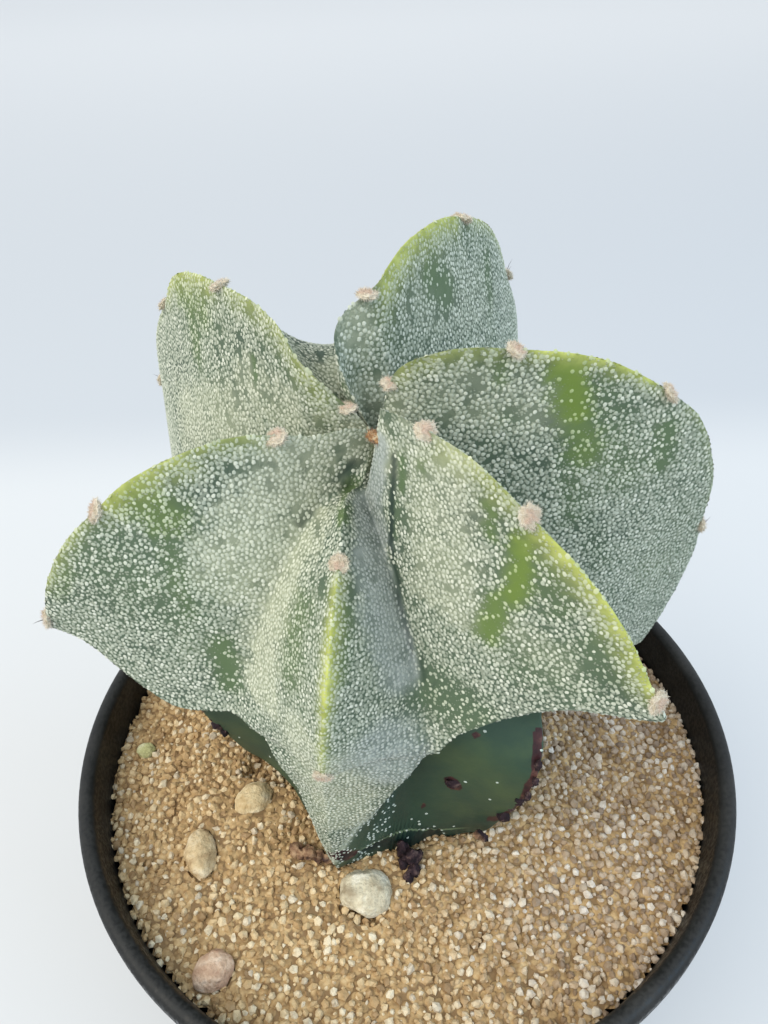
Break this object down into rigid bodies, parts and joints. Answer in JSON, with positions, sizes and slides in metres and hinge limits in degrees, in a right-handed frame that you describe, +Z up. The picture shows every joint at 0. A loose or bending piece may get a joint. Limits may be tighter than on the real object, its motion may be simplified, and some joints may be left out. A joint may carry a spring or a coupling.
{
  "type": "potted bishop's cap cactus",
  "caption": "Squat star-shaped cactus with broad flecked ribs and a corky old foot, standing in coarse sand in a round black nursery pot, with loose pebbles.",
  "frame": {"origin": "middle of the pot's base, on the surface it stands on", "axes": "+Z up along the pot's axis, -Y towards the viewer of the picture, +X to the viewer's right"},
  "size_m": [0.105, 0.105, 0.1672],
  "materials": {
    "pot_plastic": "satin, slightly dusty",
    "sand": "rough mineral grains",
    "cactus_skin": "matte green skin with white wool flecks",
    "pebble": "matt weathered stone"
  },
  "bodies": {
    "root": {"pot": "pot_plastic", "sand": "sand", "cactus": "cactus_skin", "pebble_cream": "pebble", "pebble_tan": "pebble", "pebble_grey": "pebble", "pebble_pink": "pebble", "pebble_green": "pebble"}
  },
  "joints": []
}
